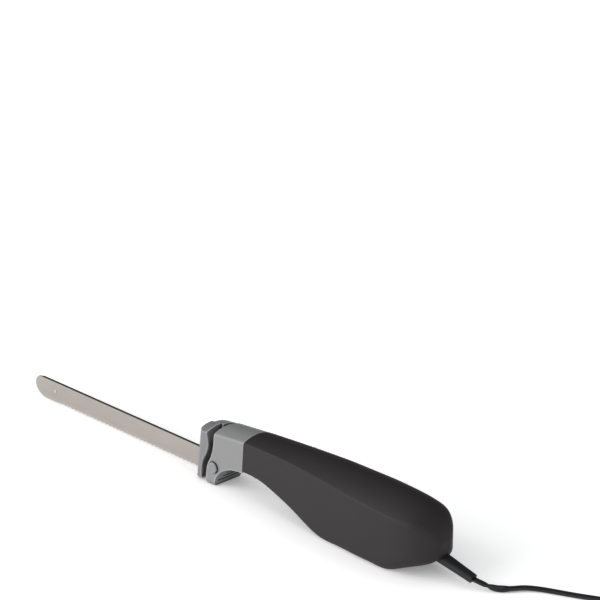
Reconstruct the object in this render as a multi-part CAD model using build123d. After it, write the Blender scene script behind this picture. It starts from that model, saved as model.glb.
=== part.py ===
from build123d import *
import os
from math import atan, cos, pi, radians, sin, sqrt, tan

# Electric carving knife, in millimetres, resting on the plane z = 0.
# The blade tip points to -X, the cord leaves at +X, the left side faces -Y.
# The origin is the middle of the knife's base, without its cord.

# Overall sizes
body_length = 249.0    # front of the finger lip to the back of the handle
blade_reach = 237.0    # front of the finger lip to the blade tip
body_width = 49.0
body_height = 59.2
nose_length = 44.0
wall = 2.4
crown_radius = 32.0    # cross curve of the handle's top
split_lean = 2.5       # lean of the joint between nose and handle
fit_gap = 0.3          # between pieces that don't touch
slide_gap = 0.25       # between a slider and its guide
run_gap = 0.05         # radial clearance of a shaft in its bore
overrun = 2.0          # how far a cut runs past what it cuts

front_x = blade_reach - (blade_reach + body_length) / 2
rear_x = front_x + body_length
split_x = front_x + nose_length
handle_length = rear_x - split_x

# Handle sections, front to back: place, half width, underside, top, lower and upper corner radius.
# Place is a share of the handle's length, widths and corners are shares of half the body width.
handle_shares = [
    (-0.030, 0.612, 0.383, 0.883, 0.122, 0.092),
    (0.000, 0.612, 0.382, 0.894, 0.122, 0.092),
    (0.098, 0.649, 0.368, 0.919, 0.143, 0.091),
    (0.195, 0.694, 0.279, 0.941, 0.167, 0.090),
    (0.293, 0.755, 0.167, 0.961, 0.204, 0.098),
    (0.371, 0.812, 0.057, 0.975, 0.244, 0.106),
    (0.439, 0.857, -0.014, 0.985, 0.283, 0.111),
    (0.546, 0.918, -0.018, 0.990, 0.321, 0.119),
    (0.607, 0.951, -0.018, 0.992, 0.334, 0.122),
    (0.668, 0.980, -0.018, 0.993, 0.343, 0.127),
    (0.729, 0.993, -0.018, 0.987, 0.347, 0.141),
    (0.790, 0.996, -0.014, 0.976, 0.349, 0.159),
    (0.859, 0.971, 0.074, 0.951, 0.350, 0.194),
    (0.917, 0.857, 0.159, 0.894, 0.326, 0.245),
    (0.961, 0.661, 0.220, 0.786, 0.278, 0.240),
    (0.988, 0.429, 0.284, 0.650, 0.193, 0.163),
    (1.000, 0.224, 0.363, 0.524, 0.101, 0.090),
]

# Nose and finger lip
nose_half_share = 0.612
nose_corner_share = 0.122
nose_low_share = 0.381
nose_block_shares = [(-0.14, 0.814), (0.59, 0.865), (1.14, 0.902)]
nose_front_shares = [
    (0.020, 0.204), (0.059, 0.306), (0.123, 0.392), (0.182, 0.503),
    (0.214, 0.608), (0.232, 0.740), (0.250, 0.845), (0.262, 1.000),
]
lip_thickness = 9.5
lip_round = 3.0
hook_length = 32.5
groove_radius = 0.85
groove_shares = [(0.07, 0.77), (0.115, 0.43), (0.155, 0.23)]
nose_front_wall = 1.5
nose_bevel = 0.8
collar_length = 5.0
collar_wall = 1.5
collar_flange = 3.0

# Blades, both alike, and the rivet that keeps their tips together
blade_height = 19.0
blade_thickness = 1.2
blade_gap = 0.3
edge_z = 1.2
edge_bevel_height = 3.4
edge_land = 0.35
tooth_pitch = 5.0
tooth_depth = 1.3
plain_tip = 29.0
tip_top_shares = [(0.0, 0.62), (0.10, 0.86), (0.42, 1.0)]
tip_low_shares = [(0.0, 0.62), (0.14, 0.28), (0.42, 0.06), (0.72, 0.0)]
tip_length = 18.0
tang_height = 9.0
tang_z = 28.0
tang_reach = 36.0      # from the lip's front to the end of the tang
web_front = 9.0
web_width = 3.4
rivet_radius = 0.9
rivet_head_radius = 1.35
rivet_head = 0.5
rivet_share = 0.55
rivet_setback = 27.0

# Finger guard, one half on each blade
guard_half_width = 15.0
guard_seam = 0.25
guard_low = 1.8
guard_round = 6.0
guard_corner = 2.0
guard_shoulder = 1.5
guard_rim = 0.6
guard_crown_shares = [(-0.40, 0.779), (0.30, 0.843)]
guard_front_shares = [(0.286, 0.09), (0.161, 0.811)]
guard_rear_shares = [
    (-0.080, 0.060), (-0.064, 0.179), (-0.036, 0.300), (0.052, 0.420),
    (0.118, 0.545), (0.116, 0.650), (0.092, 0.720), (0.100, 0.800),
]

# Drive
stroke = 5.0
rest_shift = 1.4       # how far the left blade stands forward of mid stroke at rest
gear_reach = 72.0      # from the nose joint back to the worm wheel
motor_z = 37.0
gear_teeth = 24
gear_module = 0.75
gear_thickness = 4.0
worm_pitch_radius = 3.0
worm_turns = 6
mesh_gap = 0.22
tooth_backlash = 0.6
eccentric_radius = 4.5
eccentric_thickness = 2.0
axle_radius = 1.5
plate_inner = 4.2      # inner face of each yoke plate
yoke_rail = 2.4
slider_inner = 1.75
slider_thickness = 3.25
slider_setback = 21.5   # from the lip's front
slider_step = 46.0
slider_arm_height = 6.0
shaft_radius = 2.0

# Gear frame
frame_inner = 7.0
frame_plate = 2.0
frame_front = 21.0
frame_back = 19.5
frame_top = 44.5
bridge_thickness = 2.6
bush_radius = 3.2
frame_foot_shares = [0.0, 0.26, 1.0]

# Slider guide
guide_front = 8.0
guide_length = 12.0
guide_top = 41.0
guide_half_width = 11.0
guide_chamfer = 3.0

# Latch rockers and release buttons
latch_thickness = 1.4
latch_inner = 5.6
latch_arm = 8.0
latch_height = 6.0
latch_setback = 23.0    # from the lip's front to the pin
latch_pin_radius = 0.9
latch_hook = 2.0
latch_lead = 1.3        # front end beyond the arm
pad_reach = 0.6
pad_width = 3.4
button_share = 0.284
button_x_share = 0.22
button_radius = 4.5
button_cap = 3.0
button_proud = 2.0
button_round = 1.0
button_gap = 0.35
button_groove = 1.6    # ring round the stop for the button's spring
button_stop_radius = 3.2
button_travel = 1.8
button_stem_radius = 2.4
riser_thickness = 1.4
riser_inner = 7.4
pocket_front = 5.6
pocket_length = 7.8
pocket_half_width = 9.2
pocket_share = 0.208

# Trigger, its pin, its spring and the switch
trigger_front = 7.0
trigger_length = 39.0
trigger_half_width = 8.0
trigger_proud = 1.8
trigger_rise = 2.2
trigger_swing_gap = 0.9    # behind the trigger, for its swing
trigger_round = 2.0
trigger_angle = 3.5
pin_radius = 1.1
pin_setback = 2.6
arm_place = 36.5
arm_length = 5.0
arm_half_width = 11.0
arm_thickness = 2.0
arm_rise = 0.9
spring_radius = 2.4
spring_wire = 0.35
spring_wire_share = 0.8    # the buttons' springs
spring_turns = 5
spring_height = 6.6
switch_length = 22.0
switch_width = 6.0
switch_height = 12.0
switch_inner = 7.4
plunger_radius = 1.3
plunger_length = 3.4

# Motor
stator_front = 100.0
stator_length = 30.0
stator_radius = 17.0
stator_bore = 10.5
armature_radius = 10.0
armature_slots = 12
slot_radius = 1.2
winding_radius = 8.8
winding_length = 6.0
coil_inner = 10.9
coil_outer = 12.7
coil_overhang = 6.0
coil_low = 1.2
coil_high = 7.2
stud_radius = 1.3
stud_circle = 14.6
commutator_radius = 6.0
commutator_length = 10.0
commutator_setback = 10.0
commutator_bars = 12
bar_gap = 0.5
brush_size = 5.0
brush_length = 4.2
brush_setback = 0.15
holder_wall = 1.1
holder_length = 6.8
fan_radius = 10.8
fan_hub = 4.0
fan_length = 7.0
fan_setback = 24.0
fan_blades = 9
fan_blade = 0.9
bearing_radius = 5.0
bearing_width = 4.0
bracket_setback = 36.0
bracket_thickness = 3.0
bracket_radius = 16.0
bracket_lip = 1.8
rib_thickness = 2.5

# Shell screws: place behind the nose joint, and height as a share of the body height
screw_shares = [(0.059, 0.785), (0.245, 0.845), (0.546, 0.150), (0.745, 0.150), (0.898, 0.743)]
boss_radius = 2.8
screw_radius = 1.2
screw_head_radius = 2.0
screw_head = 1.4
screw_inset = 1.2

# Cord sleeve and clamp
boot_root = (-12.0, 0.0, 19.0)    # from the handle's back, on the table
boot_tip = (24.0, 5.0, 7.5)
boot_width = 11.5
boot_height = 7.0
boot_end_width = 8.6
boot_end_height = 5.6
flange_thickness = 2.0
flange_margin = 1.5
clamp_length = 6.0
clamp_width = 14.0
clamp_height = 4.0

# Cord
cord_width = 5.2
cord_gap = 0.8    # between the sleeve and the cord outside it
cord_run = [    # from the handle's back, on the table
    (32.3, 8.2, 4.6), (40.5, 12.3, 2.7), (47.0, 20.5, 2.6), (53.0, 29.5, 2.8),
    (62.0, 36.8, 2.6), (75.0, 43.2, 2.6), (90.0, 50.0, 2.6), (106.0, 58.6, 2.6),
    (123.0, 66.4, 2.9), (135.0, 73.2, 3.5),
]
coil_radius = 41.0
coil_pitch = 5.75
coil_turns = 4
coil_join = (145.0, 78.3, 3.6)
coil_heading = 27.0
tie_thickness = 0.8
tie_width = 9.0
tie_gap = 0.2
plug_lead = 24.0
plug_length = 26.0
plug_width = 19.0
plug_neck = 9.0
plug_round = 3.0
prong_length = 16.0
prong_width = 6.35
prong_thickness = 1.5
prong_spacing = 12.7

nose_half = nose_half_share * body_width / 2
nose_low = nose_low_share * body_height
half_stroke = stroke / 2
latch_pivot = front_x + latch_setback
gear_x = split_x + gear_reach
pitch_radius = gear_module * gear_teeth / 2
centre_distance = pitch_radius + worm_pitch_radius
gear_z = motor_z - centre_distance
stator_x = split_x + stator_front
stator_end = stator_x + stator_length
tang_half = blade_thickness + blade_gap / 2


def block(x0, x1, y0, y1, z0, z1):
    centre = Pos((x0 + x1) / 2, (y0 + y1) / 2, (z0 + z1) / 2)
    return centre * Box(abs(x1 - x0), abs(y1 - y0), abs(z1 - z0))


def slab(face, y0, y1):
    """A face drawn in X and Z, as a plate between two places along Y."""
    return extrude(Plane.XZ.offset(-y0) * face, amount=-(y1 - y0))


def rod_x(radius, x0, x1, y, z):
    return extrude(Plane((x0, y, z), x_dir=(0, 1, 0), z_dir=(1, 0, 0)) * Circle(radius), x1 - x0)


def rod_y(radius, y0, y1, x, z):
    low, high = min(y0, y1), max(y0, y1)
    return extrude(Plane((x, low, z), x_dir=(1, 0, 0), z_dir=(0, 1, 0)) * Circle(radius), high - low)


def rod_z(radius, z0, z1, x, y):
    return Pos(x, y, z0) * extrude(Circle(radius), z1 - z0)


def polygon(points):
    return make_face(Polyline(*points, close=True))


def other_side(shape):
    return mirror(shape, about=Plane.XZ)


def section(x, half, low, top, corner, shoulder, radius):
    """One cross section: flat underside, upright sides and a crowned top."""
    side_top = top - (radius - sqrt(radius**2 - half**2))
    rim = Polyline((-half, side_top), (-half, low), (half, low), (half, side_top))
    crown = ThreePointArc((half, side_top), (0, top), (-half, side_top))
    face = make_face([rim, crown])
    face = fillet(face.vertices().sort_by(Axis.Y)[:2], corner)
    face = fillet(face.vertices().sort_by(Axis.Y)[-2:], shoulder)
    return Plane.YZ.offset(x) * face


def handle_form(inset=0):
    """The handle's outer form, or the same form drawn inwards by inset."""
    sections = []
    for place, half, low, top, corner, shoulder in handle_shares:
        width = half * body_width / 2
        shrink = 1 - inset / width
        sections.append(section(
            split_x + place * (handle_length - inset), width - inset,
            low * body_height + inset, top * body_height - inset,
            corner * body_width / 2 * shrink, shoulder * body_width / 2 * shrink,
            crown_radius - inset))
    above = block(front_x, rear_x + overrun, -body_width, body_width, inset, body_height + overrun)
    return loft(sections) & above


def nose_block(inset=0):
    """The nose's width, rounded edges and crown, before its side outline is cut."""
    corner = nose_corner_share * body_width / 2 * (1 - inset / nose_half)
    return loft([
        section(front_x + place * nose_length, nose_half - inset, inset,
                top * body_height - inset, corner, corner, crown_radius - inset)
        for place, top in nose_block_shares])


def handle_at(x, column):
    """A handle size between two sections, from its column in the shares."""
    place = (x - split_x) / handle_length
    for before, after in zip(handle_shares, handle_shares[1:]):
        if place <= after[0]:
            part = (place - before[0]) / (after[0] - before[0])
            return before[column] + part * (after[column] - before[column])
    return handle_shares[-1][column]


def low_at(x):
    return max(0, handle_at(x, 2) * body_height)


def half_at(x):
    return handle_at(x, 1) * body_width / 2


def split_at(z):
    return split_x - split_lean + 2 * split_lean * z / body_height


def behind_split(shift=0):
    high = body_height + overrun
    return slab(polygon([
        (split_at(-overrun) + shift, -overrun), (split_at(high) + shift, high),
        (rear_x + body_width, high), (rear_x + body_width, -overrun)]), -body_width, body_width)


def nose_front(shift=0):
    return [(front_x + x * nose_length + shift, z * body_height) for x, z in nose_front_shares]


def button_place():
    return front_x + button_x_share * nose_length, button_share * body_height


def button_seat():
    """How far from the middle plane the floor of a button's bore lies."""
    return nose_half + button_proud - button_cap - button_travel - fit_gap


def nose_housing():
    front = [(front_x, lip_round)] + nose_front()
    back_x = front_x + lip_thickness
    hook_x = back_x + hook_length
    high = front[-1][1]
    bend = lip_round * (1 - cos(radians(45)))
    outline = make_face([
        Spline(*front),
        Polyline(front[-1], (split_at(high), high), (split_at(nose_low), nose_low), (hook_x, nose_low)),
        EllipticalCenterArc((hook_x, 0), hook_length, nose_low, start_angle=90, arc_size=90),
        Line((back_x, 0), (front_x + lip_round, 0)),
        ThreePointArc((front_x + lip_round, 0), (front_x + bend, bend), (front_x, lip_round)),
    ])
    nose = nose_block() & slab(outline, -body_width, body_width)
    nose = chamfer(nose.faces().sort_by(Axis.X)[-1].edges(), nose_bevel)

    # Hollow for the sliders, and a pocket in the lip for the button stems
    floor_z = nose_low + wall
    inner = nose_front(nose_front_wall)
    start = inner[2][0]
    cavity = polygon([(start, floor_z)] + inner[3:] + [
        (split_x + nose_length, inner[-1][1]), (split_x + nose_length, floor_z)])
    nose -= nose_block(wall) & slab(cavity, -body_width, body_width)
    pocket_x = front_x + pocket_front
    nose -= block(pocket_x, pocket_x + pocket_length, -pocket_half_width, pocket_half_width,
                  pocket_share * body_height, floor_z + overrun)

    # Slot for the blade tangs
    slot_half = tang_half + fit_gap * 2
    nose -= block(front_x, split_x, -slot_half, slot_half,
                  tang_z - fit_gap * 4, tang_z + tang_height + fit_gap * 4)

    # Bores for the two release buttons
    x, z = button_place()
    seat = button_seat()
    groove = seat - button_groove
    for side in (-1, 1):
        stop = rod_y(button_stop_radius, side * groove, side * seat, x, z)
        nose -= rod_y(button_radius + button_gap, side * groove, side * (nose_half + overrun), x, z) - stop
        nose -= rod_y(button_stem_radius + slide_gap, 0, side * nose_half, x, z)

    # Grip grooves across the back of the lip
    for height, width in groove_shares:
        z = height * body_height
        groove_x = hook_x - hook_length * sqrt(1 - (z / nose_low) ** 2)
        half = width * nose_half
        nose -= rod_y(groove_radius, -half, half, groove_x, z)

    # Collar that enters the handle shells
    outer, inner = wall + 2 * fit_gap, wall + 2 * fit_gap + collar_wall
    ring = collar_section(outer) - collar_section(inner)
    nose += extrude(ring, 2 * collar_length)
    flange = collar_section(wall / 2) - collar_section(inner)
    nose += extrude(flange, collar_flange)
    return nose - slider_channel(split_x - collar_length - overrun, split_x + 2 * collar_length)


def collar_section(inset):
    """The handle's first section drawn inwards, placed inside the nose."""
    place, half, low, top, corner, shoulder = handle_shares[1]
    scale = body_width / 2 - inset / half
    return section(split_x - collar_length, nose_half - inset, low * body_height + inset,
                   top * body_height - inset, corner * scale, shoulder * scale, crown_radius - inset)


def behind(point):
    """A point that is given from the handle's back."""
    return Vector(rear_x, 0, 0) + Vector(*point)


def boot_axis():
    return behind(boot_tip) - behind(boot_root)


def boot_plane(along):
    """A plane square to the cord sleeve, part of the way along it."""
    axis = boot_axis()
    side = Vector(0, 0, 1).cross(axis)
    return Plane(behind(boot_root) + axis * along, x_dir=side, z_dir=axis)


def boot_form(start=0.0, end=1.0, margin=0):
    def oval(along):
        width = boot_width + (boot_end_width - boot_width) * along + 2 * margin
        height = boot_height + (boot_end_height - boot_height) * along + 2 * margin
        return boot_plane(along) * RectangleRounded(width, height, height * 0.42)
    return loft([oval(start), oval(end)])


def screw_places():
    return [(split_x + place * handle_length, height * body_height) for place, height in screw_shares]


def shell_features():
    """What stands on the inside of the shells, before it is trimmed to their inner form."""
    wide, high = body_width, body_height
    ribs = [block(x, x + rib_thickness, -wide, wide, 0, high)
            for x in (stator_x + rib_thickness, stator_end - 2 * rib_thickness)]
    cradle = stator_radius + fit_gap
    features = [rib - rod_x(cradle, stator_x, stator_end, 0, motor_z) for rib in ribs]
    bracket_x = stator_end + bracket_setback - fit_gap
    rib = block(bracket_x - rib_thickness, bracket_x, -wide, wide, 0, high)
    features.append(rib - rod_x(bracket_radius - bracket_lip, stator_end, rear_x, 0, motor_z)
                    - [rod_x(stud_radius + fit_gap, stator_end, rear_x, y, z) for y, z in stud_places()])
    features += [rod_y(boss_radius, -wide, wide, x, z) for x, z in screw_places()]
    features.append(spring_shelf())
    return features


def handle_shells():
    """The left and the right shell, which meet on the plane y = 0."""
    inner = handle_form(wall)
    shell = (handle_form() - inner) & behind_split()
    shell += [piece & inner for piece in shell_features()]
    pin_x, pin_z = pin_place()
    near, far = trigger_half_width + fit_gap, trigger_half_width + wall
    shell += [rod_y(pin_radius * 2, side * near, side * far, pin_x, pin_z) for side in (-1, 1)]
    shell -= [trigger_window(), rod_y(pin_radius, -far, far, pin_x, pin_z), boot_form(-0.1, 1.0, fit_gap)]
    left = [rod_y(screw_radius, 2 * wall - half_at(x), 0, x, z) for x, z in screw_places()]
    right = []
    for x, z in screw_places():
        seat = half_at(x) - screw_inset - screw_head
        right += [rod_y(screw_radius, 0, seat + overrun, x, z),
                  rod_y(screw_head_radius + fit_gap, seat, body_width, x, z)]
    sides = [block(split_x - wall * 2, rear_x + overrun, 0, side * body_width, 0, body_height + overrun)
             for side in (-1, 1)]
    return (shell & sides[0]) - left, (shell & sides[1]) - right


def housing_screws():
    screws = []
    for x, z in screw_places():
        seat = half_at(x) - screw_inset - screw_head
        head = rod_y(screw_head_radius, seat, seat + screw_head, x, z)
        slot = block(x - screw_head_radius, x + screw_head_radius, seat + screw_head / 2,
                     seat + screw_head * 2, z - fit_gap, z + fit_gap)
        shaft = rod_y(screw_radius, -(seat - 2 * wall), seat, x, z)
        screws.append(head - slot + shaft)
    return screws


def trigger_span():
    front = split_x + trigger_front
    return front, front + trigger_length


def trigger_window():
    front, back = trigger_span()
    half = trigger_half_width + fit_gap
    high = low_at(front) + wall + overrun
    return block(front - fit_gap, back + trigger_swing_gap, -half, half, 0, high)


def pin_place():
    front, back = trigger_span()
    x = front + pin_setback
    return x, low_at(x) + (trigger_rise - trigger_proud) / 2


def spring_place():
    front, back = trigger_span()
    x = split_x + arm_place
    return x, (trigger_half_width + arm_half_width) / 2, arm_base() + arm_thickness


def arm_base():
    return low_at(split_x + arm_place) + wall + arm_rise


def spring_shelf():
    x, y, z = spring_place()
    top = z + spring_height + fit_gap
    half = arm_length / 2 + fit_gap
    return block(x - half, x + half, -body_width, -(y - spring_radius - fit_gap), top, top + wall)


def trigger():
    front, back = trigger_span()
    count = 5
    places = [front + (back - front) * step / (count - 1) for step in range(count)]
    lower = Spline(*[(x, low_at(x) - trigger_proud) for x in places])
    upper = Spline(*[(x, low_at(x) + trigger_rise) for x in reversed(places)])
    outline = make_face([lower, Line(lower @ 1, upper @ 0), upper, Line(upper @ 1, lower @ 0)])
    pad = slab(outline, -trigger_half_width, trigger_half_width)
    under = pad.edges().filter_by(GeomType.BSPLINE).group_by(Axis.Z)[0]
    pad = fillet(under, trigger_round)
    x = split_x + arm_place
    base = arm_base()
    pad += block(x - arm_length / 2, x + arm_length / 2, -arm_half_width, arm_half_width,
                 base, base + arm_thickness)
    pad += block(x - arm_length / 2, x + arm_length / 2, -trigger_half_width + fit_gap,
                 trigger_half_width - fit_gap, low_at(x), base + arm_thickness)
    pin_x, pin_z = pin_place()
    return pad - rod_y(pin_radius + run_gap, -body_width, body_width, pin_x, pin_z)


def trigger_pin():
    x, z = pin_place()
    half = trigger_half_width + wall
    return rod_y(pin_radius, -half, half, x, z)


def coil_spring(radius, wire, turns, height):
    """A round wire spring standing on z = 0, with its axis along Z."""
    line = Helix(pitch=(height - 2 * wire) / turns, height=height - 2 * wire, radius=radius - wire)
    ring = Plane(line @ 0, z_dir=line % 0) * Circle(wire)
    return Pos(0, 0, wire) * sweep(ring, path=line, is_frenet=True)


def trigger_spring():
    x, y, z = spring_place()
    return Pos(x, -y, z) * coil_spring(spring_radius, spring_wire, spring_turns, spring_height)


def switch_body():
    x = split_x + arm_place
    base = arm_base() + arm_thickness + trigger_lift() + fit_gap
    inner, outer = switch_inner, switch_inner + switch_width
    box = block(x - switch_length / 2, x + switch_length / 2, inner, outer, base, base + switch_height)
    box = chamfer(box.edges().filter_by(Axis.Y), overrun / 4)
    y = (inner + outer) / 2
    box -= rod_z(plunger_radius + run_gap, base - overrun, base + plunger_length, x, y)
    for place in (-1, 1):
        pin_x = x + place * switch_length / 3
        box += block(pin_x - fit_gap, pin_x + fit_gap, y - overrun / 2, y + overrun / 2,
                     base + switch_height, base + switch_height + overrun)
    return box


def trigger_lift():
    pin_x, pin_z = pin_place()
    return radians(trigger_angle) * (split_x + arm_place + arm_length / 2 - pin_x)


def switch_plunger():
    x = split_x + arm_place
    start = arm_base() + arm_thickness + fit_gap / 2
    y = switch_inner + switch_width / 2
    return rod_z(plunger_radius, start, start + plunger_length, x, y)


def blade_outline():
    """Side view of one blade at mid stroke: tip, spine, toothed edge, web and tang."""
    tip_x = front_x - blade_reach + rest_shift
    spine_z = edge_z + blade_height
    web_x = guard_front_x(spine_z) + web_front / 2
    back_x = web_x + web_width
    tang_end = front_x + tang_reach
    tang_top = tang_z + tang_height
    top = [(tip_x + tip_length * x, edge_z + blade_height * z) for x, z in tip_top_shares]
    low = [(tip_x + tip_length * x, edge_z + blade_height * z) for x, z in tip_low_shares]
    first = tip_x + plain_tip
    count = int((back_x - first) / tooth_pitch)
    edges = [Spline(*top, tangents=[(0, 1), (1, 0)]),
             Polyline(top[-1], (web_x, spine_z), (web_x, tang_top), (tang_end, tang_top),
                      (tang_end, tang_z), (back_x, tang_z), (back_x, edge_z)),
             Line((back_x, edge_z), (first + count * tooth_pitch, edge_z))]
    for tooth in range(count, 0, -1):
        x = first + tooth * tooth_pitch
        middle = (x - tooth_pitch / 2, edge_z + tooth_depth)
        edges.append(ThreePointArc((x, edge_z), middle, (x - tooth_pitch, edge_z)))
    edges.append(Line((first, edge_z), low[-1]))
    edges.append(Spline(*reversed(low), tangents=[(-1, 0), (0, 1)]))
    return make_face(edges)


def guard_front_x(z):
    (low_x, low_z), (high_x, high_z) = [
        (front_x - x * nose_length, share * body_height) for x, share in guard_front_shares]
    return low_x + (high_x - low_x) * (z - low_z) / (high_z - low_z)


def rivet_place():
    tip_x = front_x - blade_reach
    return tip_x + rivet_setback, edge_z + rivet_share * blade_height


def blade(side):
    """One blade with its tang. The left one stands forward at rest, the right one back."""
    inner, outer = blade_gap / 2, tang_half
    body = slab(blade_outline(), side * inner, side * outer)
    tip_x = front_x - blade_reach
    bevel = Plane.YZ.offset(tip_x - overrun) * polygon([
        (side * (inner + edge_land), -overrun), (side * (inner + edge_land), edge_z),
        (side * outer, edge_z + edge_bevel_height), (side * (outer + overrun), edge_z + edge_bevel_height),
        (side * (outer + overrun), -overrun)])
    body -= extrude(bevel, blade_reach - web_front)
    hole_x = latch_pivot + latch_arm
    body -= block(hole_x - latch_hook * 0.7, hole_x + latch_hook * 0.7, 0,
                  side * (outer + overrun), tang_z + tang_height / 4, tang_z + tang_height * 3 / 4)
    body = Pos(side * rest_shift, 0, 0) * body
    x, z = rivet_place()
    if side < 0:
        return body - rod_y(rivet_radius, side * inner / 2, side * (outer + overrun), x, z)
    travel = 2 * stroke
    slot = slab(SlotOverall(travel + 3 * rivet_head_radius, 2 * (rivet_radius + slide_gap)),
                0, outer + overrun)
    pocket = slab(SlotOverall(travel + 4 * rivet_head_radius, 2 * (rivet_head_radius + slide_gap)),
                  outer - rivet_head - slide_gap, outer + overrun)
    return body - Pos(x + 2 * rest_shift, 0, z) * (slot + pocket)


def blade_rivet():
    x, z = rivet_place()
    outer = tang_half
    shank = rod_y(rivet_radius, -outer, outer - rivet_head, x, z)
    near = rod_y(rivet_head_radius, -outer - rivet_head, -outer, x, z)
    near = chamfer(near.faces().sort_by(Axis.Y)[0].edges(), rivet_head / 2)
    return shank + near + rod_y(rivet_head_radius, outer - rivet_head, outer, x, z)


def guard_half(side):
    """Half of the finger guard, moulded on its blade, with the nose's crown on top."""
    rear = [(front_x + x * nose_length - overrun / 2, z * body_height) for x, z in guard_rear_shares]
    high = body_height
    outline = make_face([
        Spline(*rear),
        Polyline(rear[-1], (rear[-1][0], high), (guard_front_x(high), high),
                 (guard_front_x(guard_low), guard_low), (rear[0][0], guard_low), rear[0])])
    half = slab(outline, side * guard_seam, side * guard_half_width)
    outer = half.faces().sort_by(Axis.Y)[0 if side < 0 else -1]
    half = fillet(outer.edges().filter_by(GeomType.LINE).sort_by(Axis.X)[0], guard_round)
    outer = half.faces().sort_by(Axis.Y)[0 if side < 0 else -1]
    half = fillet(outer.edges().filter_by(GeomType.BSPLINE), guard_rim)
    crown = loft([
        section(front_x + x * nose_length, guard_half_width, guard_low, top * body_height,
                guard_corner, guard_shoulder, crown_radius)
        for x, top in guard_crown_shares])
    return Pos(side * rest_shift, 0, 0) * (half & crown)


def yoke_half():
    return eccentric_radius + stroke + fit_gap


def drive_slider(side):
    """A slider bar that holds a blade tang in front and ends in a Scotch yoke behind."""
    shift = side * rest_shift
    inner, outer = slider_inner, slider_inner + slider_thickness
    plate_outer = plate_inner + eccentric_thickness
    yoke_front = gear_x - yoke_half() - yoke_rail
    step_x = split_x + slider_step
    bar = block(front_x + slider_setback, step_x, side * inner, side * outer,
                tang_z - fit_gap * 3, tang_z + tang_height - fit_gap)
    arm = block(step_x - slider_arm_height, yoke_front + yoke_rail / 2, side * plate_inner,
                side * plate_outer, tang_z - fit_gap * 3, tang_z - fit_gap * 3 + slider_arm_height)
    window_half = yoke_half()
    window_high = half_stroke + eccentric_radius + fit_gap
    frame = block(gear_x - window_half - yoke_rail, gear_x + window_half + yoke_rail,
                  side * plate_inner, side * plate_outer,
                  gear_z - window_high - yoke_rail, gear_z + window_high + yoke_rail)
    frame -= block(gear_x - window_half, gear_x + window_half, -body_width, body_width,
                   gear_z - window_high, gear_z + window_high)
    # Window for the latch hook, and the pin that the rocker turns on
    hook_x = latch_pivot + latch_arm
    bar -= block(hook_x - latch_hook, hook_x + latch_hook * 1.6, side * (inner - overrun),
                 side * (outer + overrun), tang_z + tang_height / 4, tang_z + tang_height * 3 / 4)
    pin = rod_z(latch_pin_radius, latch_z() - overrun / 2, latch_z() + latch_height + overrun / 2,
                latch_pivot, side * latch_y())
    under, over = latch_z() - fit_gap, latch_z() + latch_height + fit_gap
    ears = ear_plate(side, under - overrun / 2, under) + ear_plate(side, over, over + overrun / 2)
    return Pos(shift, 0, 0) * (bar + arm + frame + ears + pin)


def latch_y():
    return latch_inner + latch_thickness / 2


def latch_z():
    return tang_z + (tang_height - latch_height) / 2 - fit_gap


def ear_plate(side, z0, z1):
    ear = latch_pin_radius * 2
    outer = latch_inner + latch_thickness
    return block(latch_pivot - ear, latch_pivot + ear,
                 side * (slider_inner + overrun / 2), side * outer, z0, z1)


def latch_rocker(side):
    """The catch that holds a tang: pressed at its front end, its hook at the back swings out."""
    y = latch_y()
    z0, z1 = latch_z(), latch_z() + latch_height
    half = latch_thickness / 2
    plate = block(latch_pivot - latch_arm - latch_lead, latch_pivot + latch_arm + latch_hook / 2,
                  side * (y - half), side * (y + half), z0, z1)
    plate += rod_z(latch_pin_radius * 1.35, z0, z1, latch_pivot, side * y)
    hook_x = latch_pivot + latch_arm
    tip = tang_half + fit_gap
    plate += block(hook_x - latch_hook / 2, hook_x + latch_hook / 2, side * tip, side * y,
                   z0 + latch_hook, z1 - latch_hook)
    plate -= rod_z(latch_pin_radius + run_gap, z0 - overrun, z1 + overrun, latch_pivot, side * y)
    return Pos(side * rest_shift, 0, 0) * plate


def release_button(side):
    """Domed cap, stem and riser, in one piece. It slides across the lip."""
    x, z = button_place()
    outer = nose_half + button_proud
    cap = rod_y(button_radius, side * (outer - button_cap), side * outer, x, z)
    face = cap.faces().sort_by(Axis.Y)[0 if side < 0 else -1]
    cap = fillet(face.edges(), button_round)
    stem = rod_y(button_stem_radius, side * riser_inner, side * (outer - button_cap / 2), x, z)
    pocket_x = front_x + pocket_front
    base = pocket_share * body_height + fit_gap
    inner_x = pocket_x + wall
    pad_back = latch_pivot - latch_arm + pad_reach
    high = tang_z + tang_height - overrun
    knee = nose_low + wall
    front, back = pocket_x + fit_gap, pocket_x + pocket_length - fit_gap
    riser = slab(polygon([
        (front, base), (back, base), (back, knee), (pad_back, knee + wall), (pad_back, high),
        (pad_back - pad_width, high), (pad_back - pad_width, knee + wall), (inner_x, knee),
        (front, knee - wall * 2)]), side * riser_inner, side * (riser_inner + riser_thickness))
    return cap + stem + riser


def button_spring(side):
    """Drawn as long as it is under the pressed button."""
    x, z = button_place()
    wire = spring_wire * spring_wire_share
    spring = Rot(-90 * side, 0, 0) * coil_spring(button_radius - spring_wire / 2, wire, 1.5, button_groove)
    return Pos(x, side * (button_seat() - button_groove + run_gap), z) * spring


def gear_profile(steps):
    """Worm wheel outline: straight-flanked teeth between root and tip circles."""
    root = pitch_radius - gear_module - mesh_gap
    tip = pitch_radius + gear_module
    pitch_angle = 2 * pi / gear_teeth
    half_pitch = pitch_angle / 4 - tooth_backlash / pitch_radius / 2
    points = []
    for tooth in range(gear_teeth):
        middle = (tooth + 0.5) * pitch_angle + pi / 2 + steps
        for radius, angle in ((root, -half_pitch * 1.5), (tip, -half_pitch * 0.55),
                              (tip, half_pitch * 0.55), (root, half_pitch * 1.5)):
            points.append((radius * cos(middle + angle), radius * sin(middle + angle)))
    return polygon(points)


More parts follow.
